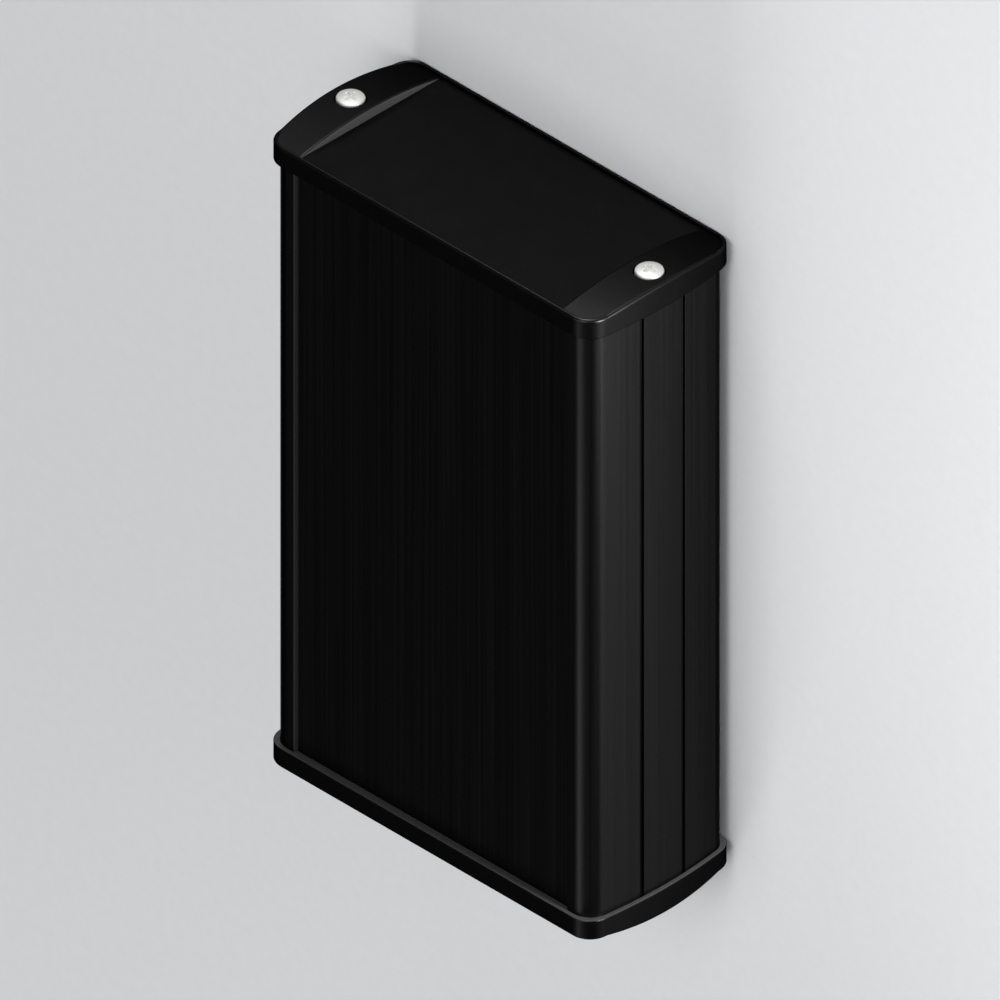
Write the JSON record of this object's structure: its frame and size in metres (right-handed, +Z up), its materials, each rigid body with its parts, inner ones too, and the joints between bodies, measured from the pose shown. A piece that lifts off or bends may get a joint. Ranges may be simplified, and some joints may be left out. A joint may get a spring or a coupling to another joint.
{
  "type": "extruded aluminium enclosure",
  "caption": "Black anodised extruded aluminium instrument enclosure with bowed narrow sides, recessed wide faces and die-cast end caps held by self-tapping screws.",
  "frame": {"origin": "under the centre of the enclosure, on the surface that the long edges of the end caps rest on", "axes": "+X across the width, +Y along the extrusion towards the front cap, +Z up through the depth"},
  "size_m": [0.1078, 0.178, 0.0474],
  "materials": {
    "anodised_body": "black anodised, satin",
    "cast_cap": "black anodised, die-cast",
    "plated_screw": "bright plated"
  },
  "bodies": {
    "root": {"body": "anodised_body", "front_cap": "cast_cap", "rear_cap": "cast_cap", "front_left_screw": "plated_screw", "front_right_screw": "plated_screw", "rear_left_screw": "plated_screw", "rear_right_screw": "plated_screw"}
  },
  "joints": []
}
